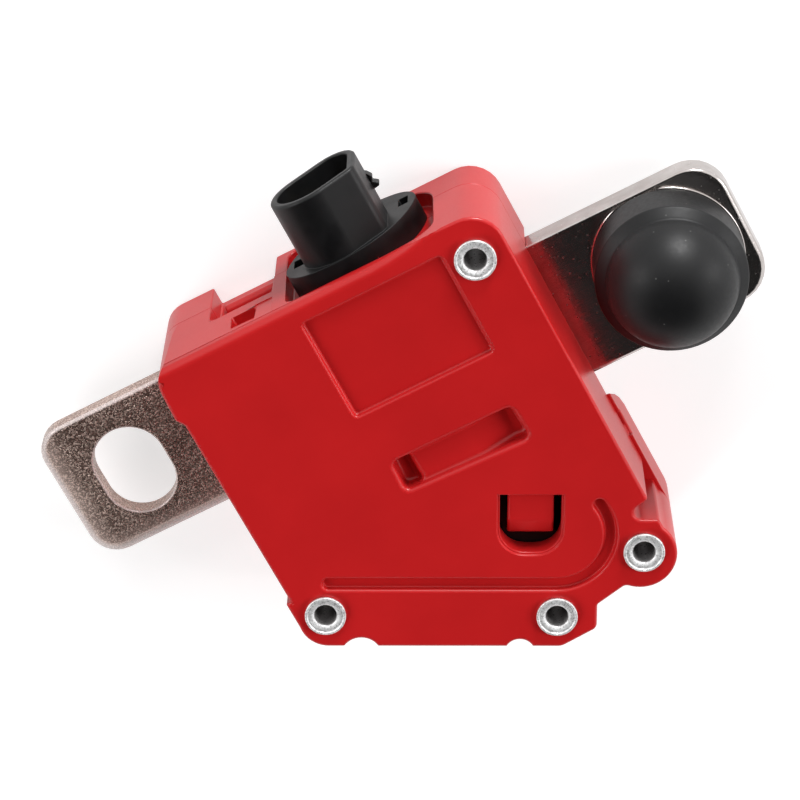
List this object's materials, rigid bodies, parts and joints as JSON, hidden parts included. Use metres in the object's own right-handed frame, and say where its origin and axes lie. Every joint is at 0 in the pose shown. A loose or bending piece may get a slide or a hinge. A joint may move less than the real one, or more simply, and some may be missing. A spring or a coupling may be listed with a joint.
{
  "type": "positive battery terminal",
  "caption": "Positive battery terminal with a one-shot disconnect: riveted red housing, slotted plated bar, capped stud bar and a black igniter socket.",
  "frame": {"origin": "on the flat back face, on the igniter socket's axis and midway between the two bars' centre lines", "axes": "+X along the bars towards the stud, +Y towards the igniter socket's mouth, +Z out of the front cover"},
  "size_m": [0.097, 0.0697, 0.0236],
  "materials": {
    "red_plastic": "satin moulded",
    "tin_plating": "pebbled tin plating",
    "bright_plating": "bright tin plating",
    "zinc_plating": "zinc plated",
    "black_rubber": "smooth matt",
    "black_plastic": "fine moulded grain",
    "pin_plating": "bright",
    "capsule_steel": "turned",
    "bare_copper": "turned",
    "rivet_steel": "rolled and plated"
  },
  "bodies": {
    "housing": {"front_cover": "red_plastic", "back_cover": "red_plastic", "slotted_busbar": "tin_plating", "stud_busbar": "bright_plating", "terminal_stud": "zinc_plating", "igniter_socket": "black_plastic", "socket_seal": "black_rubber", "contact_pin_left": "pin_plating", "contact_pin_right": "pin_plating", "igniter": "capsule_steel", "piston_sleeve": "capsule_steel", "guide_block": "black_plastic", "buffer_pad": "black_rubber", "rivet_upper_right": "rivet_steel", "rivet_lower_left": "rivet_steel", "rivet_lower_middle": "rivet_steel", "rivet_lower_right": "rivet_steel"},
    "striker": {"piston": "capsule_steel", "piston_seal": "black_rubber", "contact_bridge": "bare_copper"},
    "cap": {"stud_cap": "black_rubber"}
  },
  "joints": [
    {"name": "firing_stroke", "type": "slide", "parent": "housing", "child": "striker", "axis": [0, -1, 0], "range_m": [0, 0.0095]},
    {"name": "cap_pull", "type": "slide", "parent": "housing", "child": "cap", "axis": [0, 0, 1], "range_m": [0, 0.018]}
  ]
}
